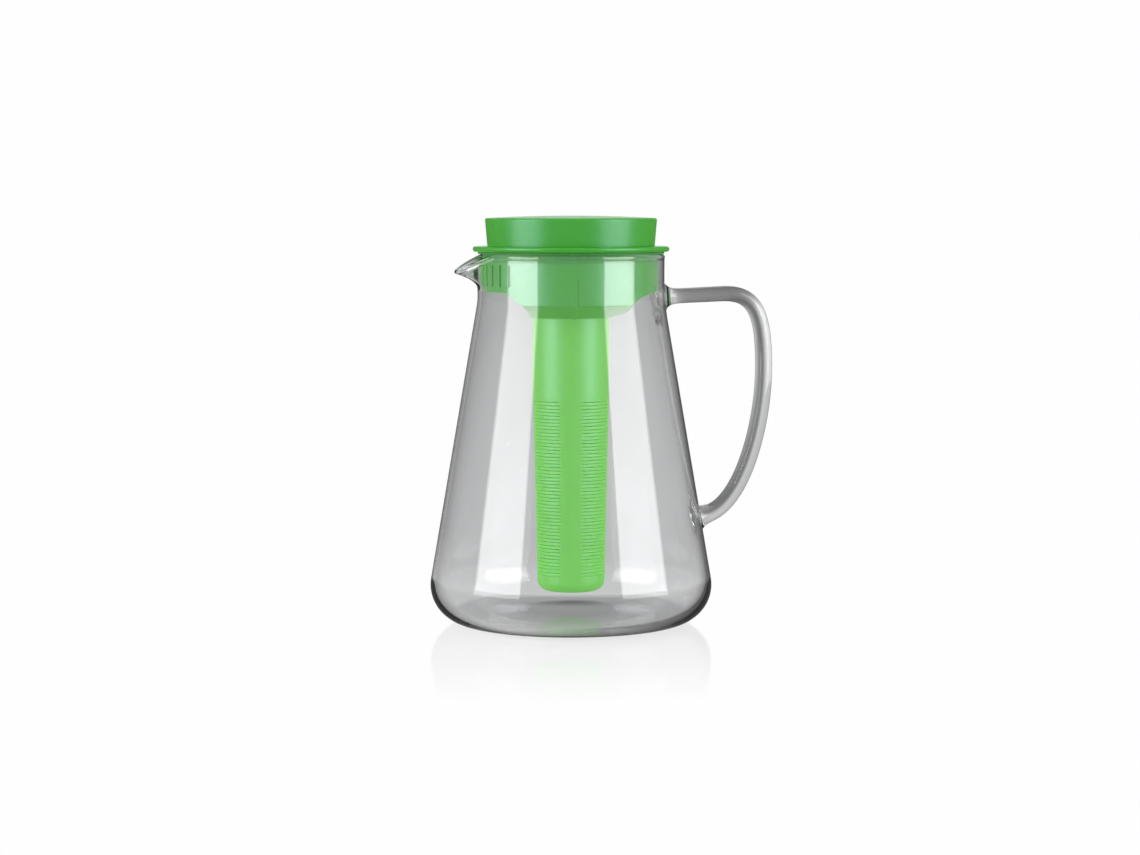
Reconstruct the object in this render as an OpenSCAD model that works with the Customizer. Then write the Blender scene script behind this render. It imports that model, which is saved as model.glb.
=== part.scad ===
// Glass pitcher with a drop-in plastic lid, a slotted infuser tube and an ice core.
// Millimetres, +Z up. The origin is the centre of the glass base, on the table.
// The handle points along +X and the spout along -X.

/* [Glass jug] */
// Outer radius of the straight neck
neck_r = 52.5; // [50:0.5:56]
// Height of the glass rim above the table
rim_z = 208; // [196:1:224]
// Height of the neck, from the rim down to the point where the cone would meet it
neck_h = 26; // [24:0.5:32]
// Half angle of the conical body, in degrees
cone_angle = 9.67; // [8:0.1:11]
// Radius that blends the cone into the neck
shoulder_blend_r = 30; // [20:1:36]
// Radius of the round edge between the cone and the base
base_corner_r = 21.6; // [16:0.2:26]
// Thickness of the blown glass wall
glass_wall = 2.4; // [2:0.1:3]
// Thickness of the glass floor
glass_floor = 4; // [3:0.1:6]
// Radius of the fire-polished bead along the rim
rim_bead_r = 1.5; // [1.4:0.05:1.8]

/* [Spout] */
// How far the tip of the spout stands out from the neck
spout_reach = 13.4; // [8:0.2:15]
// How far the tip of the spout lies below the rim
spout_drop = 8.2; // [5:0.2:10]
// Half of the angle that the spout takes round the neck, in degrees
spout_half_angle = 26; // [22:1:34]
// Extra glass gathered behind the lip of the spout
spout_lip = 1.4; // [0.6:0.1:2]

/* [Handle] */
// Distance from the jug's axis to the middle of the grip
handle_reach = 112.2; // [104:0.2:120]
// Depth of the upper arm's middle line below the rim
handle_drop = 22.7; // [21:0.1:26]
// Height of the lower weld's middle above the table
handle_foot_z = 57.5; // [50:0.5:70]
// Thickness of the rod in the upper arm, seen from the side
arm_t = 8.2; // [7:0.1:10]
// Thickness of the rod in the grip, seen from the side
grip_t = 9.6; // [8:0.1:11]
// Width of the rod, seen from above
rod_w = 12; // [9:0.2:14]
// Distance over which the glass flares out at each weld
weld_len = 3.6; // [2.5:0.1:5]

/* [Lid collar] */
// Free gap between the plug and the glass neck
plug_gap = 1.2; // [1:0.05:1.8]
// How far the flange stands out beyond the neck
flange_over = 2.75; // [2:0.05:4]
// Thickness of the flange
flange_t = 3; // [2.4:0.1:4]
// Depth of the plug wall below the flange, towards the spout and the handle
plug_h = 22.1; // [21:0.1:26]
// How much deeper the plug wall hangs at its front and back
skirt_h = 7.4; // [6.4:0.1:8.4]
// Radius of the skirt's lower edge
skirt_edge_r = 1; // [0.6:0.1:1.6]
// Wall of the collar
collar_wall = 2; // [1.6:0.1:2.4]
// How far the throat is drawn in from the plug's outer face
throat_step = 4.3; // [4:0.1:5.5]
// Height of the throat that the cap's spigot enters
throat_h = 7.4; // [6:0.1:8.4]
// Height of the cove on the handle side
cove_h = 8.3; // [7.4:0.1:9.4]
// Width of the cove on the handle side
cove_w = 18.4; // [17:0.1:19.2]
// Height of the rounded edge under the cove
bowl_h = 6.4; // [5.8:0.1:7.4]
// Height of the central socket above the bowl's underside
socket_h = 16.4; // [14:0.1:18]
// Slope of the scoop on the spout side, in degrees
scoop_angle = 40; // [35:1:42]
// Distance from the axis to the upper edge of the scoop
scoop_r = 38; // [36:0.2:39]
// Turn of the lid in the jug, away from square with the spout, in degrees
lid_set = -6.7; // [-15:0.1:15]
// Width of the mark at the front of the skirt
mark_w = 0.9; // [0.6:0.1:1.4]
// Height of the mark
mark_h = 14.4; // [8:0.2:16]
// Depth of the mark's groove, and height of the rib that carries it on under the skirt
mark_depth = 0.6; // [0.4:0.1:0.8]

/* [Pour slots] */
// Width of each slot in the plug wall
pour_slot_w = 1.7; // [1.2:0.1:2.6]
// Angle from one pour slot to the next, in degrees
pour_slot_step = 8.5; // [6:0.1:9]
// Number of pour slots each side of the middle one
pour_slots_each_side = 5; // [3:1:5]
// Height of a pour slot
pour_slot_h = 12; // [9:0.2:13]
// Wall left between the pour slots and the plug's lower edge
pour_slot_foot = 3; // [2:0.1:4]
// Number of intake slots each side of the middle one
intakes_each_side = 4; // [1:1:4]
// Distance from one intake slot to the next
intake_pitch = 4.4; // [3.8:0.1:4.8]

/* [Cap] */
// Height of the cap's side above the flange
cap_h = 15.6; // [13:0.1:20]
// Width of the land that the cap stands on
cap_land = 2.4; // [2:0.1:3]
// How much wider the cap is at its top edge than at its foot
cap_flare = 1.25; // [0.6:0.05:2]
// Radius of the cap's top edge
cap_edge_r = 1.2; // [0.8:0.1:2]
// Rise of the cap's domed top
dome_h = 1.3; // [0.8:0.1:3]
// Wall of the cap
cap_wall = 2.4; // [2:0.1:2.8]
// Wall of the spigot under the cap
spigot_wall = 2.8; // [2.6:0.1:3.2]

/* [Infuser tube] */
// Outer radius at the shoulder, under the socket
tube_r = 21.4; // [20.4:0.1:23]
// How much the slotted part of the tube narrows towards its end
tube_taper = 2.3; // [1:0.1:2.6]
// Free height between the tube's end and the glass floor
tube_floor_gap = 14; // [8:0.5:30]
// Wall of the tube
tube_wall = 1.6; // [1.3:0.1:1.8]
// Radius of the rounded end
tube_end_r = 6; // [4:0.5:8]
// Height of one strainer slot
slot_h = 0.4; // [0.3:0.05:1]
// Distance from one row of strainer slots to the next
slot_pitch = 1.92; // [1.6:0.02:4]
// Plain height below the shoulder
plain_h = 44.4; // [36:0.2:60]
// Plain height above the tube's end
slot_foot = 9.6; // [9:0.2:16]
// Width of the ribs between the columns of slots
rib_w = 12.4; // [8:0.2:14]

/* [Ice core] */
// Free gap between the core and the tube's neck
core_gap = 1.2; // [1:0.1:1.6]
// How much the core narrows from its mouth to its end
core_taper = 1.4; // [1:0.1:2]
// Free height between the core and the tube's floor
core_floor_gap = 12; // [6:0.5:20]
// Wall of the core's tube
core_wall = 1.6; // [1.3:0.1:1.8]
// Headroom above the filling, for the water to swell as it freezes
ice_headroom = 12; // [8:0.5:20]
// Depth of the stopper's spigot inside the core
stopper_h = 10; // [8:0.2:14]
// Thickness of the stopper's flange
stopper_flange_t = 2.4; // [2:0.1:3]

/* [Seals] */
// Thickness of the seal under the flange
neck_seal_t = 1; // [0.8:0.1:1.4]
// Depth of the seal's lip inside the neck
neck_seal_lip = 4.4; // [3:0.1:4.8]
// Radius of the cap seal's round section
cap_seal_r = 0.9; // [0.7:0.05:1]
// Thickness of the gasket under the stopper's flange
core_seal_t = 1; // [0.8:0.1:1.4]

/* [Bayonets] */
// Number of lugs in each bayonet
lug_count = 3; // [2:1:4]
// Angle that each lug takes, in degrees
lug_arc = 24; // [16:1:26]
// Turn from locked to free, in degrees
lug_turn = 40; // [30:1:50]
// Height of a lug
lug_h = 2.6; // [2:0.1:3]
// How far a lug stands out
lug_out = 1.4; // [1:0.1:1.5]

/* [Clearances] */
// Gap between flat seats of pieces that come apart
seat_gap = 0.2; // [0.1:0.05:0.25]
// Gap between round faces of pieces that come apart
run_gap = 0.3; // [0.25:0.01:0.35]
// Gap between pieces that stay together
rest_gap = 0.05; // [0.02:0.01:0.1]

/* [Hidden] */
$fn = 96;
over = 1;

glass_tint = [0.80, 0.83, 0.84, 0.35];
lid_green = [0.36, 0.70, 0.28];
tube_green = [0.46, 0.76, 0.38];
seal_green = [0.16, 0.45, 0.17];
core_tint = [0.78, 0.88, 0.86];
ice_tint = [0.86, 0.94, 0.97];

// Steps of the round stretches
corner_steps = 12;
blend_steps = 5;
bead_steps = 6;
cove_steps = 7;
spout_columns = 26;
spout_rows = 8;
rod_sides = 18;

// Jug
shoulder_z = rim_z - neck_h;
blend_rise = shoulder_blend_r * tan(cone_angle / 2);
neck_in_r = neck_r - glass_wall;
neck_mid_r = neck_r - glass_wall / 2;

// Spout
spout_root_z = shoulder_z + blend_rise + spout_drop / 4;
spout_side_power = 1.3;
spout_rise_power = 2.6;
spout_skirt = spout_drop / 8;
spout_sink = glass_wall / 48;
spout_margin = 2;

// Handle
arm_z = rim_z - handle_drop;
arm_rise_share = 0.012;
corner_shares = [[0.595, 1], [0.930, 1.005], [1.003, 0.896], [1, 0.657]];
grip_shares = [[1, 0.657], [0.997, 0.427], [0.812, 0.075], [0.467, 0.020]];
arm_rings = 9;
corner_rings = 12;
grip_rings = 18;
foot_rings = 5;
ring_crowding = 1.7;
neck_weld_share = 1.1;
foot_weld_share = 0.75;
weld_width_share = 0.5;

// Seal, flange and plug, from the rim upward and downward
neck_seal_z = rim_z + seat_gap;
flange_z = neck_seal_z + neck_seal_t + seat_gap;
flange_top_z = flange_z + flange_t;
flange_r = neck_r + flange_over;
plug_r = neck_in_r - plug_gap;
cup_r = plug_r - collar_wall;
throat_r = plug_r - throat_step;
throat_low_z = flange_top_z - throat_h;
plug_low_z = flange_z - plug_h;
bowl_edge_z = plug_low_z - cove_h;
bowl_edge_r = plug_r - cove_w;
socket_low_z = bowl_edge_z - bowl_h;
socket_top_z = socket_low_z + socket_h;

// Infuser tube and its socket
shoulder_gap = run_gap;
tube_top_z = socket_low_z - shoulder_gap;
tube_low_z = glass_floor + tube_floor_gap;
tube_foot_r = tube_r - tube_taper;
tube_neck_r = tube_r - lug_out - 2 * run_gap;
tube_neck_in_r = tube_neck_r - tube_wall;
socket_bore_r = tube_neck_r + run_gap;
socket_channel_r = tube_neck_r + lug_out + run_gap;
socket_r = socket_channel_r + collar_wall;
tube_lug_z = tube_top_z + 3 * lug_h;
knee_z = tube_top_z - plain_h;
slot_rows = floor((knee_z - tube_low_z - slot_foot) / slot_pitch);
slot_columns = 4;
slot_turn = -101;

// Skirt, scoop and intake
skirt_low_z = plug_low_z - skirt_h;
skirt_slope = atan((skirt_low_z - socket_low_z) / (plug_r - socket_r));
scoop_z = plug_low_z;
pour_slot_z = plug_low_z + pour_slot_foot;
intake_share = 0.72;
seal_lip_share = 0.75;
channel_play_share = 4;

// Core
core_end_share = 0.7;
core_r = tube_neck_in_r - core_gap;
core_foot_r = core_r - core_taper;
core_low_z = tube_low_z + tube_wall + core_floor_gap;
core_end_r = core_foot_r * core_end_share;
core_flange_z = flange_z - core_seal_t;
core_top_z = core_flange_z - core_seal_t;
stopper_spigot_r = core_r - core_wall - rest_gap;
stopper_neck_r = core_r - lug_out;
stopper_top_z = core_flange_z + stopper_flange_t + 5 * lug_h;
stopper_lug_z = stopper_top_z - 3 * lug_h;
ice_top_z = core_flange_z - stopper_h - ice_headroom;

// Cap
cap_z = flange_top_z + seat_gap;
cap_foot_r = throat_r + cap_land;
cap_top_r = cap_foot_r + cap_flare;
cap_edge_z = cap_z + cap_h;
cap_ceiling_z = cap_edge_z - cap_wall;
spigot_r = throat_r - run_gap - seat_gap;
spigot_in_r = spigot_r - spigot_wall;
spigot_low_z = throat_low_z + seat_gap;
cap_seal_reach_r = throat_r - seat_gap;
cap_seal_ring_r = cap_seal_reach_r - cap_seal_r;
cap_seal_z = (spigot_low_z + cap_z) / 2;
boss_bore_r = stopper_neck_r + run_gap;
boss_channel_r = stopper_neck_r + lug_out + run_gap;
boss_r = boss_channel_r + cap_wall;
boss_low_z = core_flange_z + stopper_flange_t + run_gap;

// Outline helpers: points are [radius, height]
function jug_r(z) = neck_r + (shoulder_z - z) * tan(cone_angle);
function arc(c, r, a0, a1, steps) =
    [for (i = [0:steps]) let (a = a0 + (a1 - a0) * i / steps) c + r * [cos(a), sin(a)]];
function backward(list) = [for (i = [len(list) - 1:-1:0]) list[i]];

// The jug's body, inset by a wall thickness and standing on a floor height
function body_side(inset, floor_z) =
    let (r = base_corner_r - inset)
    let (z = floor_z + r)
    let (line_r = jug_r(z) - inset / cos(cone_angle))
    let (corner = [line_r - r / cos(cone_angle), z])
    let (blend = [neck_r + shoulder_blend_r, shoulder_z + blend_rise])
    concat(arc(corner, r, -90, cone_angle, corner_steps),
           arc(blend, shoulder_blend_r + inset, 180 + cone_angle, 180, blend_steps));

// Half of the rim's bead, from the wall's face up to the top: side is 1 outside, -1 inside
function bead_half(mid_r, top_z, side, sink = 0) =
    let (r = rim_bead_r - sink)
    let (start = -acos((glass_wall / 2 - sink) / r))
    let (end = 90 - 90 / bead_steps / 8)
    [for (i = [0:bead_steps]) let (a = start + (end - start) * i / bead_steps)
        [mid_r + side * r * cos(a), top_z - rim_bead_r + r * sin(a)]];

// Spout: how far its effect has grown at an angle from the middle, and at a share of the height.
// Its patch is a hair thinner than the neck and runs a little way into it, on all three sides.
function spout_side(a) = pow(cos(90 * min(1, abs(a) / spout_half_angle)), 2 * spout_side_power);
function spout_top(a) = rim_z - spout_drop * spout_side(a);
function spout_wall(a, side) =
    let (w = spout_side(a))
    let (top = spout_top(a))
    let (reach = side > 0 ? spout_reach : spout_reach - spout_lip)
    let (bead = bead_half(neck_mid_r + spout_reach * w, top, side, spout_sink))
    let (wall_r = neck_mid_r + side * (glass_wall / 2 - spout_sink))
    concat([[wall_r, spout_root_z - spout_skirt]],
           [for (i = [0:spout_rows - 1]) let (s = i / spout_rows)
                [wall_r + reach * w * pow(s, spout_rise_power),
                 spout_root_z + (bead[0][1] - spout_root_z) * s]],
           bead);
function spout_section(a) = concat(spout_wall(a, 1), backward(spout_wall(a, -1)));

// Triangles between closed loops of n points, and across a symmetric end loop
function side_faces(loops, n) =
    [for (j = [0:loops - 2], i = [0:n - 1]) let (k = (i + 1) % n)
        each [[j * n + i, (j + 1) * n + k, j * n + k], [j * n + i, (j + 1) * n + i, (j + 1) * n + k]]];
function ladder_faces(first, n, flip) =
    [for (i = [0:n / 2 - 2]) let (a = first + i, b = first + i + 1)
        let (c = first + n - 2 - i, d = first + n - 1 - i)
        each (flip ? [[a, c, b], [a, d, c]] : [[a, b, c], [a, c, d]])];

module spout_patch() {
    n = len(spout_section(0));
    reach_angle = spout_half_angle + spout_margin;
    points = [for (j = [0:spout_columns]) let (a = reach_angle * (1 - 2 * j / spout_columns))
        for (p = spout_section(a)) [-p[0] * cos(a), -p[0] * sin(a), p[1]]];
    polyhedron(points, concat(side_faces(spout_columns + 1, n),
                              ladder_faces(0, n, false),
                              ladder_faces(spout_columns * n, n, true)));
}

module spout_wedge() {
    reach = neck_r + 2 * spout_reach;
    half_y = reach * tan(spout_half_angle);
    translate([0, 0, spout_root_z])
        linear_extrude(rim_z - spout_root_z + over)
            polygon([[0, 0], [-reach, half_y], [-reach, -half_y]]);
}

module jug_shell() {
    outside = body_side(0, 0);
    inside = body_side(glass_wall, glass_floor);
    rotate_extrude()
        polygon(concat([[0, 0]], outside, bead_half(neck_mid_r, rim_z, 1),
                       backward(bead_half(neck_mid_r, rim_z, -1)), backward(inside), [[0, glass_floor]]));
}

module glass_jug() {
    color(glass_tint) {
        difference() {
            jug_shell();
            spout_wedge();
        }
        spout_patch();
    }
}

// Handle: a drawn rod whose middle line is a straight arm and two smooth curves
function curve(p, t) =
    pow(1 - t, 3) * p[0] + 3 * pow(1 - t, 2) * t * p[1] + 3 * (1 - t) * t * t * p[2] + pow(t, 3) * p[3];
function handle_at(share) =
    [neck_r + share[0] * (handle_reach - neck_r), handle_foot_z + share[1] * (arm_z - handle_foot_z)];
arm_start = [neck_mid_r, arm_z - arm_rise_share * (arm_z - handle_foot_z)];
corner_points = [for (s = corner_shares) handle_at(s)];
grip_points = [for (s = grip_shares) handle_at(s)];
foot_end = [jug_r(handle_foot_z) - glass_wall / 2, handle_foot_z];
handle_line = concat(
    [for (i = [0:arm_rings - 1]) let (t = pow(i / arm_rings, ring_crowding))
        arm_start + (corner_points[0] - arm_start) * t],
    [for (i = [0:corner_rings - 1]) curve(corner_points, i / corner_rings)],
    [for (i = [0:grip_rings - 1]) curve(grip_points, i / grip_rings)],
    [for (i = [0:foot_rings]) let (t = 1 - pow(1 - i / foot_rings, ring_crowding))
        grip_points[3] + (foot_end - grip_points[3]) * t]);

function rod_ring(i) =
    let (last = len(handle_line) - 1)
    let (p = handle_line[i])
    let (run = handle_line[min(i + 1, last)] - handle_line[max(i - 1, 0)])
    let (side = [-run[1], run[0]] / norm(run))
    let (grown = min(1, i / (arm_rings + corner_rings)))
    let (near_neck = exp(-norm(p - arm_start) / weld_len))
    let (near_foot = exp(-norm(p - foot_end) / weld_len))
    let (flare = neck_weld_share * near_neck + foot_weld_share * near_foot)
    let (half_t = (arm_t + (grip_t - arm_t) * grown) / 2 * (1 + flare))
    let (half_w = rod_w / 2 * (1 + weld_width_share * flare))
    [for (k = [0:rod_sides - 1]) let (a = 360 * k / rod_sides)
        [p[0] + half_t * cos(a) * side[0], half_w * sin(a), p[1] + half_t * cos(a) * side[1]]];

module handle_rod() {
    loops = len(handle_line);
    points = [for (i = [0:loops - 1]) each rod_ring(i)];
    polyhedron(points, concat(side_faces(loops, rod_sides),
                              [[for (k = [0:rod_sides - 1]) k]],
                              [[for (k = [rod_sides - 1:-1:0]) (loops - 1) * rod_sides + k]]));
}

module jug_envelope() {
    rotate_extrude()
        polygon(concat([[0, 0]], body_side(0, 0), [[neck_r, rim_z], [0, rim_z]]));
}

module glass_handle() {
    color(glass_tint)
        difference() {
            handle_rod();
            jug_envelope();
        }
}

module neck_seal() {
    lip_in_r = plug_r + seat_gap;
    lip_out_r = lip_in_r + (plug_gap - 2 * seat_gap) * seal_lip_share;
    seat_out_r = neck_r - seat_gap;
    color(seal_green)
        rotate_extrude()
            polygon([[lip_in_r, neck_seal_z - neck_seal_lip], [lip_out_r, neck_seal_z - neck_seal_lip],
                     [lip_out_r, neck_seal_z], [seat_out_r, neck_seal_z],
                     [seat_out_r, neck_seal_z + neck_seal_t], [lip_in_r, neck_seal_z + neck_seal_t]]);
}

// Bayonet: lugs on a neck, and the channels that they turn in
module lugs(neck, low_z) {
    for (k = [0:lug_count - 1])
        rotate([0, 0, 360 * k / lug_count])
            rotate_extrude(angle = lug_arc)
                translate([neck - lug_out / 2, low_z])
                    square([lug_out * 1.5, lug_h]);
}

module channel_arc(bore, low_z, high_z, from_angle, to_angle) {
    rotate([0, 0, from_angle])
        rotate_extrude(angle = to_angle - from_angle)
            translate([bore - lug_out, low_z])
                square([2 * lug_out, high_z - low_z]);
}

module channels(bore, low_z, mouth_z) {
    play = asin(run_gap / bore) * channel_play_share;
    for (k = [0:lug_count - 1])
        rotate([0, 0, 360 * k / lug_count]) {
            channel_arc(bore, low_z - run_gap, low_z + lug_h + run_gap, -play, lug_turn + lug_arc + play);
            channel_arc(bore, mouth_z - over, low_z + lug_h / 2,
                        lug_turn - play / 2, lug_turn + lug_arc + play / 2);
        }
}

// Collar: on the handle side its skirt is cut away along a cove and a rounded edge under it
function cove_point(a, inset) =
    [plug_r - cove_w * sin(a), bowl_edge_z + cove_h * cos(a)]
    + inset * [-cove_h * sin(a), cove_w * cos(a)] / norm([cove_h * sin(a), cove_w * cos(a)]);
bowl_w = bowl_edge_r - socket_r;
function bowl_point(a, inset) =
    [socket_r + bowl_w * sin(a), bowl_edge_z - bowl_h * cos(a)]
    + inset * [-bowl_h * sin(a), bowl_w * cos(a)] / norm([bowl_h * sin(a), bowl_w * cos(a)]);
function bowl_side(inset) =
    concat([for (i = [1:cove_steps - 1]) bowl_point(90 * i / cove_steps, inset)],
           [for (i = [cove_steps:-1:0]) cove_point(90 * i / cove_steps, inset)]);

module cove(grow) {
    side = bowl_side(grow);
    far = plug_r + flange_r;
    deep_z = socket_low_z - socket_h;
    rotate([90, 0, 0])
        linear_extrude(4 * plug_r, center = true)
            polygon(concat(side, [[far, plug_low_z + grow], [far, deep_z], [side[0][0], deep_z]]));
}

// The scoop's outline, seen from the side and grown by a wall
function scoop_outline(grow) =
    let (far = -plug_r - flange_r)
    let (knee = -scoop_r + grow * tan(scoop_angle / 2))
    let (end = grow - socket_r - collar_wall / 4)
    let (low = scoop_z + grow / cos(scoop_angle) - (scoop_r + end) * tan(scoop_angle))
    [[far, scoop_z + grow], [knee, scoop_z + grow], [end, low],
     [end, socket_low_z - socket_h], [far, socket_low_z - socket_h]];

module scoop(grow) {
    rotate([90, 0, 0])
        linear_extrude(4 * plug_r, center = true)
            polygon(scoop_outline(grow));
}

// Height of the skirt's underside, a shallow cone that falls from the plug wall to the socket
function under_z(r) = socket_low_z + (r - socket_r) * tan(skirt_slope);

module collar_blank() {
    edge = [flange_r - flange_t / 2, flange_z + flange_t / 2];
    foot = [plug_r - skirt_edge_r, under_z(plug_r - skirt_edge_r) + skirt_edge_r / cos(skirt_slope)];
    rotate_extrude()
        polygon(concat([[socket_bore_r, socket_low_z], [socket_r, socket_low_z]],
                       arc(foot, skirt_edge_r, skirt_slope - 90, 0, bead_steps), [[plug_r, flange_z]],
                       arc(edge, flange_t / 2, -90, 90, bead_steps), [[socket_bore_r, flange_top_z]]));
}

module collar_cup() {
    floor_t = collar_wall / cos(skirt_slope);
    rotate_extrude()
        polygon([[socket_r, under_z(socket_r) + floor_t], [cup_r, under_z(cup_r) + floor_t],
                 [cup_r, throat_low_z - (cup_r - throat_r)], [throat_r, throat_low_z],
                 [throat_r, flange_top_z + over], [socket_bore_r - over, flange_top_z + over],
                 [socket_bore_r - over, socket_top_z], [socket_r, socket_top_z]]);
}

// The mark: a groove in the skirt's wall, carried on by a rib along its underside
module mark_groove() {
    translate([-mark_w / 2, -plug_r - over, skirt_low_z - over])
        cube([mark_w, mark_depth + over, mark_h + over]);
}

module mark_rib() {
    outer_r = plug_r - skirt_edge_r;
    inner_r = socket_r - collar_wall / 2;
    rotate([90, 0, -90])
        linear_extrude(mark_w, center = true)
            polygon([[inner_r, socket_low_z - mark_depth], [socket_r, socket_low_z - mark_depth],
                     [outer_r, under_z(outer_r) - mark_depth], [outer_r, under_z(outer_r) + mark_depth],
                     [inner_r, socket_low_z + mark_depth]]);
}

module pour_slots() {
    for (i = [-pour_slots_each_side:pour_slots_each_side])
        rotate([0, 0, 180 + i * pour_slot_step])
            translate([cup_r - over, -pour_slot_w / 2, pour_slot_z])
                cube([collar_wall + 2 * over, pour_slot_w, pour_slot_h]);
}

module intake_slots() {
    slope_len = (scoop_r - socket_r) / cos(scoop_angle);
    slot_len = slope_len * intake_share;
    for (i = [-intakes_each_side:intakes_each_side])
        translate([-(scoop_r + socket_r) / 2, i * intake_pitch,
                   scoop_z - (scoop_r - socket_r) / 2 * tan(scoop_angle)])
            rotate([0, scoop_angle, 0])
                translate([-slot_len / 2, -pour_slot_w / 2, -over])
                    cube([slot_len, pour_slot_w, collar_wall + 2 * over]);
}

module lid_collar() {
    color(lid_green)
        difference() {
            union() {
                collar_blank();
                rotate([0, 0, lid_set])
                    mark_rib();
            }
            channels(socket_bore_r, tube_lug_z, socket_low_z);
            rotate([0, 0, lid_set]) {
                scoop(0);
                cove(0);
                difference() {
                    collar_cup();
                    scoop(collar_wall);
                    cove(collar_wall);
                }
                mark_groove();
                pour_slots();
                intake_slots();
            }
        }
}

// Cap
function dome_z(r) = cap_edge_z + dome_h * (1 - pow(r / (cap_top_r - cap_edge_r), 2));

module cap_blank() {
    edge = [cap_top_r - cap_edge_r, cap_edge_z - cap_edge_r];
    dome = [for (i = [0:cove_steps]) let (r = edge[0] * (1 - i / cove_steps)) [r, dome_z(r)]];
    rotate_extrude()
        polygon(concat([[0, spigot_low_z], [spigot_r, spigot_low_z], [spigot_r, cap_z],
                        [cap_foot_r, cap_z]],
                       arc(edge, cap_edge_r, 0, 80, bead_steps), dome));
}

module cap_hollow() {
    side_r = cap_foot_r - cap_wall;
    rotate_extrude()
        polygon([[0, spigot_low_z - over], [spigot_in_r, spigot_low_z - over], [spigot_in_r, cap_z],
                 [side_r, cap_z + side_r - spigot_in_r], [side_r + cap_flare, cap_ceiling_z],
                 [boss_r, cap_ceiling_z], [boss_r, boss_low_z], [boss_bore_r, boss_low_z],
                 [boss_bore_r, cap_ceiling_z], [0, cap_ceiling_z]]);
}

module lid_cap() {
    color(lid_green)
        difference() {
            cap_blank();
            cap_hollow();
            channels(boss_bore_r, stopper_lug_z, boss_low_z);
            seal_groove();
        }
}

module seal_groove() {
    floor_r = cap_seal_ring_r - cap_seal_r - rest_gap;
    half = cap_seal_r + rest_gap;
    rotate_extrude()
        translate([floor_r, cap_seal_z - half])
            square([spigot_r - floor_r + over, 2 * half]);
}

module cap_seal() {
    color(seal_green)
        rotate_extrude()
            translate([cap_seal_ring_r, cap_seal_z])
                circle(r = cap_seal_r);
}

// A straight tube with a rounded end, as a filled outline from the axis outward
function round_end(foot_r, low_z, end_r, inset) =
    arc([foot_r - end_r, low_z + end_r], end_r - inset, -90, 0, cove_steps);

module infuser_blank() {
    rotate_extrude()
        polygon(concat([[0, tube_low_z]], round_end(tube_foot_r, tube_low_z, tube_end_r, 0),
                       [[tube_r, knee_z], [tube_r, tube_top_z], [tube_neck_r, tube_top_z],
                        [tube_neck_r, socket_top_z], [0, socket_top_z]]));
}

module infuser_hollow() {
    rotate_extrude()
        polygon(concat([[0, tube_low_z + tube_wall]],
                       round_end(tube_foot_r, tube_low_z, tube_end_r, tube_wall),
                       [[tube_r - tube_wall, knee_z], [tube_r - tube_wall, tube_top_z - plain_h / 4],
                        [tube_neck_in_r, tube_top_z - tube_wall],
                        [tube_neck_in_r, socket_top_z + over], [0, socket_top_z + over]]));
}

module slot_row() {
    linear_extrude(slot_h)
        difference() {
            circle(r = tube_r + over);
            circle(r = tube_foot_r - 2 * tube_wall);
            for (k = [0:slot_columns / 2 - 1])
                rotate(slot_turn + 180 * k / (slot_columns / 2))
                    square([4 * tube_r, rib_w], center = true);
        }
}

module infuser_tube() {
    color(tube_green)
        difference() {
            union() {
                infuser_blank();
                lugs(tube_neck_r, tube_lug_z);
            }
            infuser_hollow();
            for (i = [0:slot_rows - 1])
                translate([0, 0, tube_low_z + slot_foot + i * slot_pitch])
                    slot_row();
        }
}

module core_tube() {
    color(core_tint)
        rotate_extrude()
            polygon(concat([[0, core_low_z]], round_end(core_foot_r, core_low_z, core_end_r, 0),
                           [[core_r, core_top_z], [core_r - core_wall, core_top_z],
                            [core_r - core_wall, core_top_z - stopper_h]],
                           backward(round_end(core_foot_r, core_low_z, core_end_r, core_wall)),
                           [[0, core_low_z + core_wall]]));
}

module core_stopper() {
    flange_top = core_flange_z + stopper_flange_t;
    hollow_r = stopper_neck_r - collar_wall;
    color(lid_green) {
        difference() {
            union() {
                rotate_extrude()
                    polygon([[0, core_flange_z - stopper_h], [stopper_spigot_r, core_flange_z - stopper_h],
                             [stopper_spigot_r, core_flange_z], [core_r, core_flange_z],
                             [core_r, flange_top], [stopper_neck_r, flange_top],
                             [stopper_neck_r, stopper_top_z], [0, stopper_top_z]]);
                lugs(stopper_neck_r, stopper_lug_z);
            }
            translate([0, 0, flange_top])
                cylinder(r = hollow_r, h = stopper_top_z);
        }
        translate([-hollow_r - collar_wall / 2, -collar_wall, flange_top - over])
            cube([2 * hollow_r + collar_wall, 2 * collar_wall, over + 2 * lug_h]);
    }
}

module core_seal() {
    color(seal_green)
        translate([0, 0, core_top_z])
            difference() {
                cylinder(r = core_r, h = core_seal_t);
                translate([0, 0, -over])
                    cylinder(r = core_r - core_wall, h = core_seal_t + 2 * over);
            }
}

module core_ice() {
    color(ice_tint)
        rotate_extrude()
            polygon(concat([[0, core_low_z + core_wall + rest_gap]],
                           round_end(core_foot_r, core_low_z, core_end_r, core_wall + rest_gap),
                           [[core_foot_r - core_wall - rest_gap, ice_top_z], [0, ice_top_z]]));
}

glass_jug();
glass_handle();
neck_seal();
lid_collar();
lid_cap();
cap_seal();
infuser_tube();
core_tube();
core_stopper();
core_seal();
core_ice();
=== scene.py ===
"""Studio view of a glass pitcher with a green lid, a slotted infuser tube and an ice core.

Metres, +Z up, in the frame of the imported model: the handle points along +X and the spout along -X.
The origin is the centre of the glass base, on the table.
"""
import math

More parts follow.
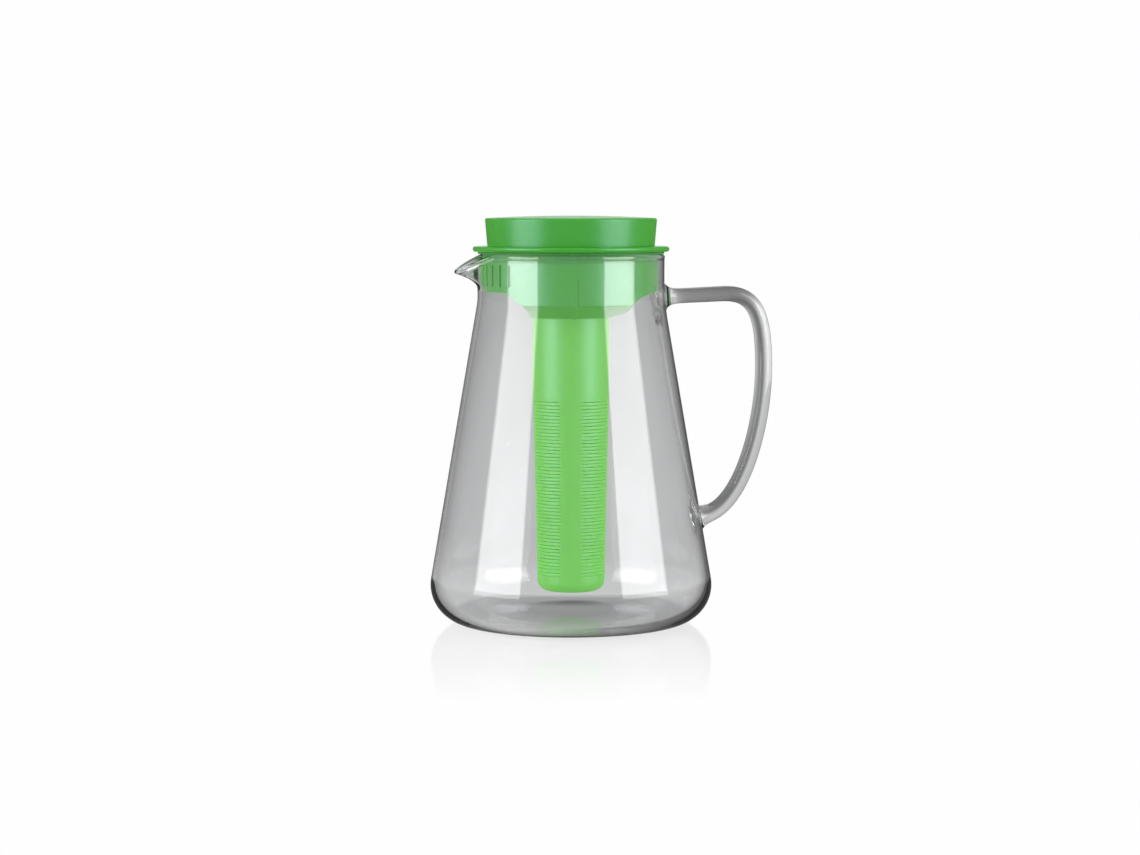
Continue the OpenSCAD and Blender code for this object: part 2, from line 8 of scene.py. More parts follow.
import bmesh
import bpy
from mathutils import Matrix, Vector


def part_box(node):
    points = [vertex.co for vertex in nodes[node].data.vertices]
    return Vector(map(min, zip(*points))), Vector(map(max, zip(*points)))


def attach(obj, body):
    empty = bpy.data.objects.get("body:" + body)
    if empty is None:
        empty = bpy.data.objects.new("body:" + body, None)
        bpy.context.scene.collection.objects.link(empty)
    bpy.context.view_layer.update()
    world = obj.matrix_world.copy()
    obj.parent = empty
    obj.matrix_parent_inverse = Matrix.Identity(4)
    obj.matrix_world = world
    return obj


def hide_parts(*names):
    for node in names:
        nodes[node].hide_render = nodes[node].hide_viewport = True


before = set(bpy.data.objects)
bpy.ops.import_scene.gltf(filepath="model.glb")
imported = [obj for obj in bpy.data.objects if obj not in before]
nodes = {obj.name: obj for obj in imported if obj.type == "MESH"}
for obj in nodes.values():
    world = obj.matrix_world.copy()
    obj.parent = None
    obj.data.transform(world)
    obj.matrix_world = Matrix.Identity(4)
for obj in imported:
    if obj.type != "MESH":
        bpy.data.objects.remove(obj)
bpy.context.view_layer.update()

MM = 0.001

# Jug, as the glass nodes have it
RIM_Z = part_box("glass_jug")[1].z
NECK_R = 52.5 * MM
NECK_H = 26 * MM
CONE_ANGLE = math.radians(9.67)
BLEND_R = 30 * MM
CORNER_R = 21.6 * MM
WALL = 2.4 * MM
FLOOR = 4 * MM
BEAD_R = 1.5 * MM
SHOULDER_Z = RIM_Z - NECK_H
BLEND_RISE = BLEND_R * math.tan(CONE_ANGLE / 2)
NECK_MID_R = NECK_R - WALL / 2

# The blown base: how far its middle is pushed up, and how the glass gathers inside
PUNT_R = 44 * MM
PUNT_RISE = 0.9 * MM
FLOOR_CROWN = 0.8 * MM

# Spout
SPOUT_REACH = 13.4 * MM
SPOUT_DROP = 8.2 * MM
SPOUT_LIP = 1.4 * MM
SPOUT_HALF = math.radians(26)
SPOUT_POWER = 2.6
SPOUT_ROOT_Z = SHOULDER_Z + BLEND_RISE + SPOUT_DROP / 4

# Handle
ARM_Z = RIM_Z - 22.7 * MM
FOOT_Z = 57.5 * MM
HANDLE_REACH = 112.2 * MM
ARM_RISE_SHARE = 0.012
CORNER_SHARES = ((0.595, 1), (0.930, 1.005), (1.003, 0.896), (1, 0.657))
GRIP_SHARES = ((1, 0.657), (0.997, 0.427), (0.812, 0.075), (0.467, 0.020))
ARM_T = 8.2 * MM
GRIP_T = 9.6 * MM
ROD_W = 12 * MM
NECK_WELD_SHARE, NECK_WELD_LEN = 2.4, 2.4 * MM
FOOT_WELD_SHARE, FOOT_WELD_LEN = 0.9, 3.4 * MM
ROD_CROWDING = 1.7
# Round each weld, the part of the seam that is smoothed: half its height, half its width, and its reach
# inwards and outwards from the wall
NECK_SEAM = (14 * MM, 14 * MM)
FOOT_SEAM = (11 * MM, 11 * MM)
SEAM_IN, SEAM_OUT = 0.6 * MM, 3 * MM
SEAM_PASSES = 6

# Steps of the meshes
JUG_STEPS = 240
ROD_SIDES = 40
CORNER_STEPS = 26
BLEND_STEPS = 10
NECK_ROWS = 22
BEAD_STEPS = 12
CONE_ROWS = 24
BASE_ROWS = 16
ARM_RINGS, CORNER_RINGS, GRIP_RINGS, FOOT_RINGS = 18, 26, 40, 12
# Points closer than this are one
MERGE = 0.004 * MM
WELD_MERGE = 0.02 * MM

# Camera, as the photograph was taken: a turn about the jug, a distance and a height
PHOTO_W = 1140
CAMERA_TURN = math.radians(11.3)
CAMERA_DISTANCE = 1.54
CAMERA_HEIGHT = 0.235
AIM_HEIGHT = 0.1103
AXIS_OFFSET = 0.00056
FOCAL_PIXELS = 2738
SENSOR = 36
VIEW_END = 60


class Wire:
    """A shader value. Sums on values become Math nodes."""

    def __init__(self, paint, socket):
        self.paint = paint
        self.socket = socket

    def __add__(self, other):
        return self.paint.math("ADD", self, other)

    __radd__ = __add__

    def __sub__(self, other):
        return self.paint.math("SUBTRACT", self, other)

    def __rsub__(self, other):
        return self.paint.math("SUBTRACT", other, self)

    def __mul__(self, other):
        return self.paint.math("MULTIPLY", self, other)

    __rmul__ = __mul__

    def __truediv__(self, other):
        return self.paint.math("DIVIDE", self, other)

    def __pow__(self, other):
        return self.paint.math("POWER", self, other)


class Paint:
    """A node tree that finishes a surface or lights the room."""

    def __init__(self, tree):
        self.tree = tree
        self.tree.nodes.clear()

    def feed(self, socket, value):
        if isinstance(value, Wire):
            self.tree.links.new(value.socket, socket)
        elif isinstance(value, bpy.types.NodeSocket):
            self.tree.links.new(value, socket)
        else:
            socket.default_value = value

    def node(self, kind, settings=None, sockets=None, stops=None):
        made = self.tree.nodes.new(kind)
        for key, value in (settings or {}).items():
            setattr(made, key, value)
        if stops:
            while len(made.color_ramp.elements) < len(stops):
                made.color_ramp.elements.new(0.5)
            for element, (place, colour) in zip(made.color_ramp.elements, stops):
                element.position = place
                element.color = colour
        for key, value in (sockets or {}).items():
            self.feed(made.inputs[key], value)
        return made

    def math(self, operation, a, b=0.0, clamp=False):
        made = self.node("ShaderNodeMath", {"operation": operation, "use_clamp": clamp}, {0: a, 1: b})
        return Wire(self, made.outputs[0])

    def mix(self, share, a, b):
        """One colour turning into another as share goes from 0 to 1."""
        made = self.node("ShaderNodeMix", {"data_type": "RGBA"})
        for socket in made.inputs:
            if socket.identifier == "Factor_Float":
                self.feed(socket, share)
            elif socket.identifier == "A_Color":
                self.feed(socket, a)
            elif socket.identifier == "B_Color":
                self.feed(socket, b)
        return next(s for s in made.outputs if s.identifier == "Result_Color")

    def place(self, scale=(1, 1, 1), shift=(0, 0, 0)):
        """Object coordinates in metres, stretched by scale."""
        source = self.node("ShaderNodeTexCoord").outputs["Object"]
        mapped = self.node("ShaderNodeMapping", {}, {"Vector": source, "Scale": scale, "Location": shift})
        return mapped.outputs["Vector"]

    def noise(self, size, detail=2, roughness=0.5, stretch=(1, 1, 1)):
        """Even noise from 0 to 1, with features of about size metres."""
        made = self.node("ShaderNodeTexNoise", {},
                         {"Vector": self.place(stretch), "Scale": 1 / size, "Detail": detail,
                          "Roughness": roughness})
        return Wire(self, made.outputs["Fac"])

    def turn(self, vector):
        """Angle of a level direction to the right of the photograph's own view, in radians."""
        parts = self.node("ShaderNodeSeparateXYZ", {}, {"Vector": vector}).outputs
        x, y = Wire(self, parts["X"]), Wire(self, parts["Y"])
        aside = x * math.cos(CAMERA_TURN) - y * math.sin(CAMERA_TURN)
        ahead = x * math.sin(CAMERA_TURN) + y * math.cos(CAMERA_TURN)
        return self.math("ARCTAN2", aside, ahead)

    def around(self, turn, table):
        """Brightness by direction: table holds (degrees to the right, brightness)."""
        stops = [(degrees / 360 + 0.5, (b, b, b, 1.0)) for degrees, b in table]
        ramp = self.node("ShaderNodeValToRGB", {}, {"Fac": turn / math.tau + 0.5}, stops)
        return Wire(self, ramp.outputs["Color"])

    def range(self, value, low, high, to_low=0.0, to_high=1.0):
        made = self.node("ShaderNodeMapRange", {"clamp": True},
                         {"Value": value, "From Min": low, "From Max": high,
                          "To Min": to_low, "To Max": to_high})
        return Wire(self, made.outputs["Result"])

    def bump(self, height, distance, strength=1.0):
        made = self.node("ShaderNodeBump", {}, {"Height": height, "Distance": distance, "Strength": strength})
        return made.outputs["Normal"]


class Finish(Paint):
    """A material with one Principled shader, whose constants sit on its own sockets."""

    def __init__(self, name, constants):
        self.material = bpy.data.materials.new(name)
        self.material.use_nodes = True
        super().__init__(self.material.node_tree)
        self.shader = self.node("ShaderNodeBsdfPrincipled", {}, constants)
        out = self.node("ShaderNodeOutputMaterial")
        self.tree.links.new(self.shader.outputs["BSDF"], out.inputs["Surface"])

    def set(self, **values):
        for key, value in values.items():
            self.feed(self.shader.inputs[key.replace("_", " ")], value)


def rgb(red, green, blue):
    """A linear colour."""
    return (red, green, blue, 1.0)


# Finishes

GLASS_CLEAR = rgb(0.965, 0.97, 0.975)
# Painted shade: the dark colour the glass turns to at its edges, where its surface turns away from view
GLASS_EDGE_SHADE = rgb(0.12, 0.12, 0.13)
EDGE_POWER = 3.2
# The painted edge shade is lighter over the round corner above the base than on the walls, down to a painted
# dark line at the foot
CORNER_EDGE_SHADE = rgb(0.88, 0.88, 0.89)
CORNER_LOW, CORNER_CLEAR_LOW = 2 * MM, 6 * MM
CORNER_CLEAR_HIGH, CORNER_HIGH = 26 * MM, 50 * MM
# Long faint waves from the blowing
PULL_SIZE, PULL_DEPTH, PULL_STRENGTH = 60 * MM, 0.35 * MM, 0.12


def clear_glass():
    """Blown borosilicate: clear face on, with painted shade that greys it where the surface turns away from
    view, faintly wavy.
    """
    glass = Finish("clear_glass", {"Roughness": 0.0, "IOR": 1.47, "Transmission Weight": 1.0})
    along = Wire(glass, glass.node("ShaderNodeLayerWeight", {}, {"Blend": 0.5}).outputs["Facing"])
    # Painted edge shade: the share of the dark colour grows as the surface turns away from view
    edge_shade = along ** EDGE_POWER
    pull = glass.noise(PULL_SIZE, 1, 0.4, (1, 1, 0.25))
    height = Wire(glass, glass.node("ShaderNodeSeparateXYZ", {}, {"Vector": glass.place()}).outputs["Z"])
    # Where the painted edge shade is lighter: over the round corner above the base, but not at the foot's
    # dark line
    corner = (glass.range(height, CORNER_LOW, CORNER_CLEAR_LOW)
              * glass.range(height, CORNER_CLEAR_HIGH, CORNER_HIGH, 1, 0))
    glass.set(Base_Color=glass.mix(edge_shade, GLASS_CLEAR, glass.mix(corner, GLASS_EDGE_SHADE, CORNER_EDGE_SHADE)),
              Normal=glass.bump(pull, PULL_DEPTH, PULL_STRENGTH))
    return glass.material


def satin_plastic(name, body, deep, painted_glow, roughness, gloss, reach):
    """Moulded plastic, thin and scattering light beneath its surface, with a painted glow from its emission,
    a faint cloudiness and a fine satin grain.
    """
    # Emission Color is a painted glow: it stands in for light passing through the thin walls and lifts the
    # shade in slots and recesses
    plastic = Finish(name, {"IOR": 1.5, "Specular IOR Level": gloss, "Specular Tint": rgb(0.62, 0.92, 1.0),
                            "Subsurface Weight": 1.0, "Subsurface Scale": reach,
                            "Subsurface Radius": (0.42, 1.0, 0.34),
                            "Emission Color": painted_glow, "Emission Strength": 1.0})
    cloud = plastic.noise(14 * MM, 3, 0.55)
    grain = plastic.noise(0.35 * MM, 2, 0.6)
    swirl = plastic.noise(30 * MM, 2, 0.5, (1, 1, 0.35))
    plastic.set(Base_Color=plastic.mix(plastic.range(cloud * 0.6 + swirl * 0.4, 0.3, 0.7), body, deep),
                Roughness=plastic.range(grain, 0.25, 0.75, roughness - 0.04, roughness + 0.04),
                Normal=plastic.bump(grain, 0.02 * MM, 0.35))
    return plastic.material


def soft_seal():
    """Silicone rubber: matt, a little dusty in patches."""
    seal = Finish("seal_silicone", {"IOR": 1.42, "Sheen Weight": 0.15})
    dust = seal.noise(2.2 * MM, 3, 0.6)
    seal.set(Base_Color=seal.mix(seal.range(dust, 0.35, 0.8), rgb(0.028, 0.21, 0.03), rgb(0.06, 0.29, 0.06)),
             Roughness=seal.range(dust, 0.2, 0.8, 0.5, 0.66),
             Normal=seal.bump(dust, 0.03 * MM, 0.3))
    return seal.material


def frosted_core():
    """Clear plastic of the ice core, with a cold bloom in patches."""
    core = Finish("core_plastic", {"IOR": 1.5, "Transmission Weight": 0.75})
    bloom = core.noise(4 * MM, 4, 0.6)
    core.set(Base_Color=core.mix(bloom, rgb(0.78, 0.93, 0.84), rgb(0.93, 0.98, 0.95)),
             Roughness=core.range(bloom, 0.35, 0.7, 0.18, 0.5),
             Normal=core.bump(bloom, 0.05 * MM, 0.3))
    return core.material


def cloudy_ice():
    """Frozen water: milky in patches, with stress lines."""
    ice = Finish("ice", {"IOR": 1.31, "Transmission Weight": 0.45, "Subsurface Weight": 0.0})
    milk = ice.noise(9 * MM, 4, 0.62, (1, 1, 0.5))
    cracks = ice.node("ShaderNodeTexVoronoi", {"feature": "DISTANCE_TO_EDGE"},
                      {"Vector": ice.place((1, 1, 0.6)), "Scale": 1 / (11 * MM)})
    line = ice.range(Wire(ice, cracks.outputs["Distance"]), 0.0, 0.05, 1.0, 0.0)
    ice.set(Base_Color=ice.mix(ice.range(milk + line * 0.25, 0.35, 0.75),
                               rgb(0.70, 0.86, 0.92), rgb(0.95, 0.98, 1.0)),
            Roughness=ice.range(milk, 0.3, 0.7, 0.12, 0.42),
            Normal=ice.bump(milk + line * 0.5, 0.25 * MM, 0.4))
    return ice.material


# Meshes

def arc(centre, radius, start, end, steps):
    """Points [radius, height] of an arc, with its angles in degrees."""
    turns = [math.radians(start + (end - start) * i / steps) for i in range(steps + 1)]
    return [(centre[0] + radius * math.cos(a), centre[1] + radius * math.sin(a)) for a in turns]


def jug_r(z):
    """Outer radius of the cone at a height."""
    return NECK_R + (SHOULDER_Z - z) * math.tan(CONE_ANGLE)


def body_side(inset, floor_z):
    """Outline of the body's side from the base up to the start of the neck."""
    cone = math.degrees(CONE_ANGLE)
    r = CORNER_R - inset
    z = floor_z + r
    line_r = jug_r(z) - inset / math.cos(CONE_ANGLE)
    corner = arc((line_r - r / math.cos(CONE_ANGLE), z), r, -90, cone, CORNER_STEPS)
    blend = arc((NECK_R + BLEND_R, SHOULDER_Z + BLEND_RISE), BLEND_R + inset, 180 + cone, 180, BLEND_STEPS)
    run = [(corner[-1][0] + (blend[0][0] - corner[-1][0]) * i / CONE_ROWS,
            corner[-1][1] + (blend[0][1] - corner[-1][1]) * i / CONE_ROWS) for i in range(1, CONE_ROWS)]
    return corner + run + blend


def neck_rows(wall_r, low_z, high_z):
    """Points up the straight neck, so that the spout has rows to bend."""
    return [(wall_r, low_z + (high_z - low_z) * i / NECK_ROWS) for i in range(1, NECK_ROWS)]


def bead_half(side):
    """Half of the fire-polished rim: side is 1 outside and -1 inside."""
    start = -math.acos(WALL / 2 / BEAD_R)
    turns = [start + (math.pi / 2 - start) * i / BEAD_STEPS for i in range(BEAD_STEPS + 1)]
    return [(NECK_MID_R + side * BEAD_R * math.cos(a), RIM_Z - BEAD_R + BEAD_R * math.sin(a)) for a in turns]


def pushed_base(points, inside):
    """The flat part of the base: its underside rises gently to the middle, and its inside is crowned."""
    edge_r, edge_z = points[0]
    flat = []
    for i in range(BASE_ROWS):
        r = edge_r * i / BASE_ROWS
        if inside:
            flat.append((r, edge_z + FLOOR_CROWN * math.cos(math.pi / 2 * r / edge_r) ** 2))
        else:
            rise = PUNT_RISE * math.cos(math.pi / 2 * min(1, r / PUNT_R)) ** 2
            flat.append((r, edge_z + rise))
    return flat + points


def spout_share(x, y):
    """How far the spout's effect has grown at a point round the neck."""
    off = abs(math.atan2(y, -x))
    return math.cos(math.pi / 2 * min(1, off / SPOUT_HALF)) ** SPOUT_POWER


def pinch_spout(bm):
    """Draw the neck's front out and down into the spout."""
    bead_z = RIM_Z - BEAD_R - BEAD_R * math.sin(math.acos(WALL / 2 / BEAD_R))
    for vert in bm.verts:
        x, y, z = vert.co
        share = spout_share(x, y)
        if z <= SPOUT_ROOT_Z or share <= 0:
            continue
        r = math.hypot(x, y)
        height = min(1, (z - SPOUT_ROOT_Z) / (bead_z - SPOUT_ROOT_Z))
        inner = r < NECK_MID_R and z < bead_z
        reach = SPOUT_REACH - SPOUT_LIP * (1 if inner else 0) * height
        out = reach * share * height ** SPOUT_POWER
        vert.co.x *= (r + out) / r
        vert.co.y *= (r + out) / r
        vert.co.z -= SPOUT_DROP * share * height


def mesh_object(name, bm):
    """Finish a bmesh: no doubles, faces outwards, smooth."""
    bmesh.ops.remove_doubles(bm, verts=bm.verts, dist=MERGE)
    bmesh.ops.recalc_face_normals(bm, faces=bm.faces)
    for face in bm.faces:
        face.smooth = True
    mesh = bpy.data.meshes.new(name)
    bm.to_mesh(mesh)
    bm.free()
    piece = bpy.data.objects.new(name, mesh)
    bpy.context.scene.collection.objects.link(piece)
    return piece


def in_order(bm):
    """Number the parts of a bmesh by their place, because a boolean numbers them anew on each run."""
    rank = {vert: i for i, vert in enumerate(sorted(bm.verts, key=lambda vert: tuple(vert.co)))}
    bm.verts.sort(key=rank.get)
    bm.verts.index_update()
    for parts in (bm.edges, bm.faces):
        by_verts = sorted(parts, key=lambda part: sorted(vert.index for vert in part.verts))
        rank = {part: i for i, part in enumerate(by_verts)}
        parts.sort(key=rank.get)
        parts.index_update()
    # Read back, so that the links between the parts are made in that order too
    ordered = bpy.data.meshes.new("ordered")
    bm.to_mesh(ordered)
    bm.clear()
    bm.from_mesh(ordered)
    bpy.data.meshes.remove(ordered)


def jug_piece():
    """The blown jug, spun from its outline, with its spout drawn out."""
    outside = body_side(0, 0)
    inside = body_side(WALL, FLOOR)
    neck_low = outside[-1][1]
    outer_bead, inner_bead = bead_half(1), bead_half(-1)
    outline = pushed_base(outside, False)
    outline += neck_rows(NECK_R, neck_low, outer_bead[0][1])
    outline += outer_bead
    outline += inner_bead[-2::-1]
    outline += neck_rows(NECK_R - WALL, neck_low, inner_bead[0][1])[::-1]
    outline += pushed_base(inside, True)[::-1]
    bm = bmesh.new()
    verts = [bm.verts.new((r, 0, z)) for r, z in outline]
    edges = [bm.edges.new(pair) for pair in zip(verts, verts[1:])]
    bmesh.ops.spin(bm, geom=verts + edges, cent=(0, 0, 0), axis=(0, 0, 1), angle=2 * math.pi,
                   steps=JUG_STEPS, use_merge=True)
    bmesh.ops.remove_doubles(bm, verts=bm.verts, dist=MERGE)
    pinch_spout(bm)
    return mesh_object("blown_jug", bm)


def bezier(points, t):
    """Point of a cubic curve at a share of its run."""
    u = 1 - t
    return (u ** 3 * points[0] + 3 * u * u * t * points[1]
            + 3 * u * t * t * points[2] + t ** 3 * points[3])


def handle_line():
    """Middle line of the handle's rod in the XZ plane, and how many rings lie before the grip."""
    def at(share):
        return Vector((NECK_R + share[0] * (HANDLE_REACH - NECK_R), FOOT_Z + share[1] * (ARM_Z - FOOT_Z)))
    start = Vector((NECK_MID_R, ARM_Z - ARM_RISE_SHARE * (ARM_Z - FOOT_Z)))
    corner = [at(s) for s in CORNER_SHARES]
    grip = [at(s) for s in GRIP_SHARES]
    end = Vector((jug_r(FOOT_Z) - WALL / 2, FOOT_Z))
    line = [start + (corner[0] - start) * (i / ARM_RINGS) ** ROD_CROWDING for i in range(ARM_RINGS)]
    line += [bezier(corner, i / CORNER_RINGS) for i in range(CORNER_RINGS)]
    line += [bezier(grip, i / GRIP_RINGS) for i in range(GRIP_RINGS)]
    line += [grip[3] + (end - grip[3]) * (1 - (1 - i / FOOT_RINGS) ** ROD_CROWDING)
             for i in range(FOOT_RINGS + 1)]
    return line, ARM_RINGS + CORNER_RINGS


def rod_piece():
    """The drawn rod, extruded ring by ring along its line and flared at both welds."""
    line, grown_by = handle_line()
    last = len(line) - 1
    bm = bmesh.new()
    ring = bmesh.ops.create_circle(bm, cap_ends=True, radius=1, segments=ROD_SIDES)["verts"]
    round_share = [(v.co.x, v.co.y) for v in ring]
    for i, point in enumerate(line):
        run = (line[min(i + 1, last)] - line[max(i - 1, 0)]).normalized()
        side = Vector((-run.y, run.x))
        flare = (NECK_WELD_SHARE * math.exp(-(point - line[0]).length / NECK_WELD_LEN)
                 + FOOT_WELD_SHARE * math.exp(-(point - line[last]).length / FOOT_WELD_LEN))
        half_t = (ARM_T + (GRIP_T - ARM_T) * min(1, i / grown_by)) / 2 * (1 + flare)
        half_w = ROD_W / 2 * (1 + flare / 2)
        if i:
            pairs_round = zip(ring, ring[1:] + ring[:1])
            edges = [bm.edges.get(pair) for pair in pairs_round]
            grown = bmesh.ops.extrude_edge_only(bm, edges=edges)["geom"]
            fresh = [g for g in grown if isinstance(g, bmesh.types.BMVert)]
            pairs = {}
            for v in fresh:
                for e in v.link_edges:
                    if e.other_vert(v) in ring:
                        pairs[e.other_vert(v)] = v
            ring = [pairs[v] for v in ring]
        for vert, (a, b) in zip(ring, round_share):
            place = point + side * (half_t * a)
            vert.co = (place.x, half_w * b, place.y)
        if i in (0, last):
            wall_r = [NECK_MID_R if i == 0 else jug_r(v.co.z) - WALL / 2 for v in ring]
            for vert, r in zip(ring, wall_r):
                vert.co.x = math.sqrt(r * r - vert.co.y ** 2)
    bmesh.ops.contextual_create(bm, geom=ring)
    return mesh_object("handle_rod", bm)


def weld(jug, rod):
    """One body of glass: the rod joins the jug's wall, and the seam is smoothed to a small fillet."""
    joined = jug.modifiers.new("weld", "BOOLEAN")
    joined.operation = "UNION"
    joined.solver = "EXACT"
    joined.object = rod
    shape = bpy.data.meshes.new_from_object(jug.evaluated_get(bpy.context.evaluated_depsgraph_get()))
    bm = bmesh.new()
    bm.from_mesh(shape)
    in_order(bm)
    for old in (jug, rod):
        bpy.data.objects.remove(old)
    bmesh.ops.remove_doubles(bm, verts=bm.verts, dist=WELD_MERGE)
    seam = [v for v in bm.verts if v.co.x > 0 and near_weld(v.co)]
    for _ in range(SEAM_PASSES):
        bmesh.ops.smooth_vert(bm, verts=seam, factor=0.5, use_axis_x=True, use_axis_y=True, use_axis_z=True)
    return mesh_object("blown_jug_and_handle", bm)


def near_weld(co):
    """True on the outside of the wall, close round either end of the handle."""
    r = math.hypot(co.x, co.y)
    outer = max(NECK_R, jug_r(co.z))
    for middle_z, (high, wide) in ((ARM_Z, NECK_SEAM), (FOOT_Z, FOOT_SEAM)):
        if abs(co.z - middle_z) < high and abs(co.y) < wide and -SEAM_IN < r - outer < SEAM_OUT:
            return True
    return False


# The object

glass = clear_glass()
jug = weld(jug_piece(), rod_piece())
jug.data.materials.clear()
jug.data.materials.append(glass)
jug.visible_shadow = False
jug.visible_diffuse = False
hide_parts("glass_jug", "glass_handle")
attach(jug, "jug")

# Each plastic's emission is a painted glow, strongest on the slotted tube
lid_finish = satin_plastic("lid_plastic", body=rgb(0.030, 0.235, 0.004), deep=rgb(0.026, 0.215, 0.003),
                           painted_glow=rgb(0.014, 0.105, 0.004), roughness=0.32, gloss=1.0,
                           reach=1.6 * MM)
tube_finish = satin_plastic("tube_plastic", body=rgb(0.083, 0.285, 0.024), deep=rgb(0.074, 0.268, 0.021),
                            painted_glow=rgb(0.060, 0.245, 0.020), roughness=0.40, gloss=0.75,
                            reach=8 * MM)
seal_finish = soft_seal()
core_finish = frosted_core()
ice_finish = cloudy_ice()
FINISHES = {
    "neck_seal": seal_finish, "cap_seal": seal_finish, "core_seal": seal_finish,
    "lid_collar": lid_finish, "lid_cap": lid_finish, "core_stopper": lid_finish,
    "infuser_tube": tube_finish, "core_tube": core_finish, "core_ice": ice_finish,
}
for name, finish in FINISHES.items():
    for slot in nodes[name].material_slots:
        slot.material = finish


# Studio

# Brightness of the room as the camera sees it, and as soft light on the object
WHITE = 0.991
FILL = 0.62
# A ray that has passed more glass faces than this has gone through both walls
FACES_OF_ONE_WALL = 2.5
# Brightness of the room by direction, in degrees to the right of the photograph's view: as seen through
# both walls of the jug, through one solid run of glass, and in a mirror that looks down or up
THROUGH_JUG = ((-180, 0.5), (-65, 0.5), (-45, 0.62), (-30, 0.46), (-20, 0.38), (-12, 0.54), (-6, 0.46),
               (9, 0.46), (14, 0.36), (20, 0.30), (28, 0.34), (36, 0.46), (60, 0.42), (180, 0.5))
THROUGH_ROD = ((-180, 0.8), (-90, 0.8), (-60, 0.55), (-20, 0.55), (-8, 0.6), (-3, 0.48), (2, 0.25),
               (6, 0.15), (10, 0.13), (16, 0.18), (22, 0.27), (30, 0.42), (38, 0.68), (60, 0.7),
               (70, 0.6), (80, 0.9), (180, 0.9))
MIRRORED_LOW = ((-180, 0.55), (-95, 0.55), (-60, 0.45), (-40, 0.2), (-12, 0.1), (12, 0.1), (40, 0.2),
                (60, 0.45), (95, 0.55), (180, 0.55))
MIRRORED_HIGH = ((-180, 0.55), (-95, 0.55), (-60, 0.45), (-40, 0.2), (-12, 0.15), (-9, 1.0), (9, 1.0),
                 (12, 0.15), (40, 0.2), (60, 0.45), (95, 0.55), (180, 0.55))
# The floor's gloss lies close round the foot
GLOSS, GLOSS_ROUGHNESS = 0.24, 0.08
FLOOR_R, FLOOR_SIDES = 14, 96
# Seen through the glass, the table has a painted pool of light nearby and a painted shadow under the foot
NEAR_LIGHT, FAR_LIGHT = 1.13, 0.95
LIGHT_NEAR, LIGHT_FAR = 1.3, 5.0
FOOT_SHADE = 0.5
GLOSS_NEAR, GLOSS_FULL, GLOSS_FAR = 0.052, 0.062, 0.26
# Directions on the floor are taken from a point this far in front of the jug
EYE_BACK = 0.5
# Two upright softboxes, to the left and right of the camera
BOX_TURN, BOX_DISTANCE, BOX_WIDTH = 62, 1.2, 0.92
BOX_LOW, BOX_HIGH = 0.02, 0.95
BOX_WATTS = 12


def by_ray(paint, vector, mirrored, shade=1.0):
    """A brightness for each kind of ray: straight to the camera, through glass, off a mirror or soft."""
    turn = paint.turn(vector)
    path = paint.node("ShaderNodeLightPath")
    off_mirror = Wire(paint, path.outputs["Is Glossy Ray"])
    value = FILL * (1 - off_mirror) + off_mirror * paint.around(turn, mirrored)
    through_glass = Wire(paint, path.outputs["Is Transmission Ray"])
    both_walls = paint.math("GREATER_THAN", Wire(paint, path.outputs["Transmission Depth"]),
                            FACES_OF_ONE_WALL)
    behind = (paint.around(turn, THROUGH_ROD) * (1 - both_walls)
              + paint.around(turn, THROUGH_JUG) * both_walls)
    value = value * (1 - through_glass) + through_glass * shade * behind
    camera = Wire(paint, path.outputs["Is Camera Ray"])
    return value * (1 - camera) + camera * WHITE


def studio_room():
    """A plain white room, with its brightness set by ray."""
    world = bpy.data.worlds.new("studio")
    bpy.context.scene.world = world
    world.use_nodes = True
    paint = Paint(world.node_tree)
    way = paint.node("ShaderNodeTexCoord").outputs["Generated"]
    strength = by_ray(paint, way, MIRRORED_HIGH, FAR_LIGHT)
    light = paint.node("ShaderNodeBackground", {}, {"Color": (1, 1, 1, 1), "Strength": strength})
    out = paint.node("ShaderNodeOutputWorld")
    world.node_tree.links.new(light.outputs[0], out.inputs["Surface"])


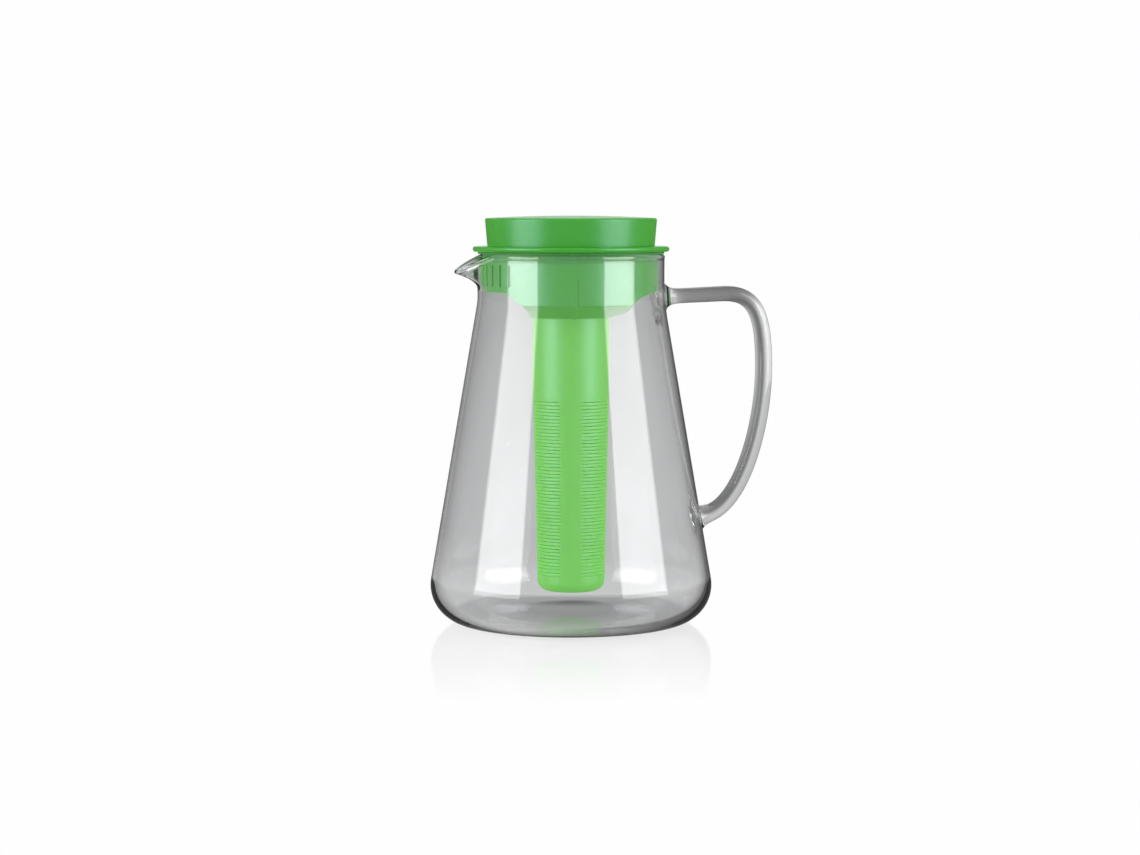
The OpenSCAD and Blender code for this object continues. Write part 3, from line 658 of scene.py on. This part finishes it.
def studio_floor():
    """A white floor that mirrors the jug faintly, close round its foot."""
    bm = bmesh.new()
    bmesh.ops.create_circle(bm, cap_ends=True, radius=FLOOR_R, segments=FLOOR_SIDES)
    floor = mesh_object("floor", bm)
    material = bpy.data.materials.new("pale_floor")
    material.use_nodes = True
    paint = Paint(material.node_tree)
    away = paint.node("ShaderNodeVectorMath", {"operation": "LENGTH"}, {0: paint.place()}).outputs["Value"]
    # Painted light and shadow on the floor as seen through the glass: a pool of light nearby and a shadow
    # under the foot
    shade = (paint.range(away, LIGHT_NEAR, LIGHT_FAR, NEAR_LIGHT, FAR_LIGHT)
             * paint.range(away, GLOSS_NEAR / 2, GLOSS_FULL, FOOT_SHADE, 1))
    strength = by_ray(paint, paint.place(shift=-EYE_BACK * toward(0)), MIRRORED_LOW, shade)
    plain = paint.node("ShaderNodeEmission", {}, {"Color": (1, 1, 1, 1), "Strength": strength})
    share = (paint.range(away, GLOSS_NEAR, GLOSS_FULL, 0, GLOSS)
             * paint.range(away, GLOSS_FULL, GLOSS_FAR, 1, 0))
    gloss = paint.node("ShaderNodeBsdfGlossy", {}, {"Color": (1, 1, 1, 1), "Roughness": GLOSS_ROUGHNESS})
    both = paint.node("ShaderNodeMixShader", {}, {0: share, 1: plain.outputs[0], 2: gloss.outputs[0]})
    out = paint.node("ShaderNodeOutputMaterial")
    material.node_tree.links.new(both.outputs[0], out.inputs["Surface"])
    floor.data.materials.append(material)


def toward(azimuth):
    """Level direction at an angle from the camera's own, turning to the camera's right."""
    a = azimuth - CAMERA_TURN
    return Vector((math.sin(a), -math.cos(a), 0))


def softbox(name, azimuth):
    """An upright area light that faces the jug from an angle beside the camera."""
    light = bpy.data.lights.new(name, "AREA")
    light.shape = "RECTANGLE"
    light.size = BOX_WIDTH
    light.size_y = BOX_HIGH - BOX_LOW
    light.energy = BOX_WATTS
    holder = bpy.data.objects.new(name, light)
    bpy.context.scene.collection.objects.link(holder)
    way = toward(math.radians(azimuth))
    holder.location = way * BOX_DISTANCE + Vector((0, 0, (BOX_LOW + BOX_HIGH) / 2))
    holder.rotation_euler = (-way).to_track_quat("-Z", "Y").to_euler()
    holder.visible_camera = False


def camera():
    """The photograph's own view."""
    data = bpy.data.cameras.new("camera")
    data.sensor_fit = "HORIZONTAL"
    data.sensor_width = SENSOR
    data.lens = SENSOR * FOCAL_PIXELS / PHOTO_W
    data.clip_end = VIEW_END
    holder = bpy.data.objects.new("camera", data)
    bpy.context.scene.collection.objects.link(holder)
    right = toward(math.pi / 2)
    aside = -AXIS_OFFSET * right
    holder.location = toward(0) * CAMERA_DISTANCE + Vector((0, 0, CAMERA_HEIGHT)) + aside
    aim = Vector((0, 0, AIM_HEIGHT)) + aside
    holder.rotation_euler = (aim - holder.location).to_track_quat("-Z", "Y").to_euler()
    bpy.context.scene.camera = holder


studio_room()
studio_floor()
softbox("softbox_left", -BOX_TURN)
softbox("softbox_right", BOX_TURN)
camera()
bpy.context.scene.view_settings.view_transform = "Standard"
